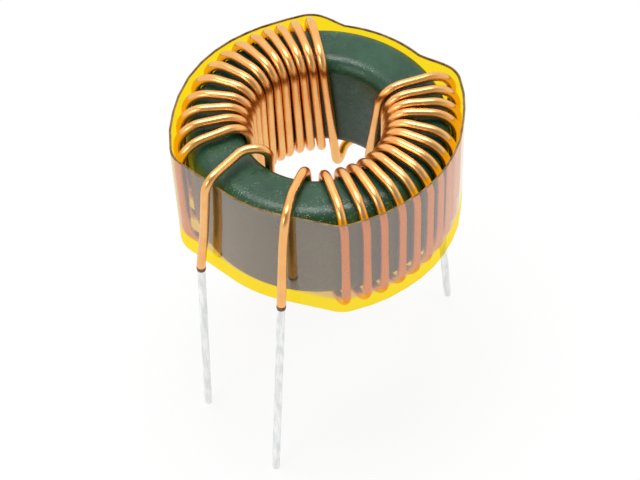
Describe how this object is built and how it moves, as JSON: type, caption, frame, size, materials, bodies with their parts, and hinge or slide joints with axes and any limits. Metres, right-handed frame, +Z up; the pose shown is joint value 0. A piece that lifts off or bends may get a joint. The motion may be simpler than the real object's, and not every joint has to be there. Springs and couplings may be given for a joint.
{
  "type": "wire-wound inductor",
  "caption": "Toroidal inductor with two copper wire windings on a coated ring core, an amber film band around it, and straight tinned leads.",
  "frame": {"origin": "on the ring's axis, in the plane of the board that the underside of the body rests on", "axes": "+Z up along the ring's axis, away from the board, with the leads reaching below the origin; -Y towards the two front leads that pass over the ring"},
  "size_m": [0.0315, 0.0359, 0.0397],
  "materials": {
    "core_coating": "dark green epoxy coating, semi-gloss",
    "enamelled_copper": "copper wire under clear enamel, glossy",
    "amber_film": "clear amber polyimide film, glossy",
    "tin": "dip-tinned, satin"
  },
  "bodies": {
    "root": {"toroid_core": "core_coating", "left_winding": "enamelled_copper", "right_winding": "enamelled_copper", "tape_band": "amber_film", "left_front_tinned_end": "tin", "left_rear_tinned_end": "tin", "right_front_tinned_end": "tin", "right_rear_tinned_end": "tin"}
  },
  "joints": []
}
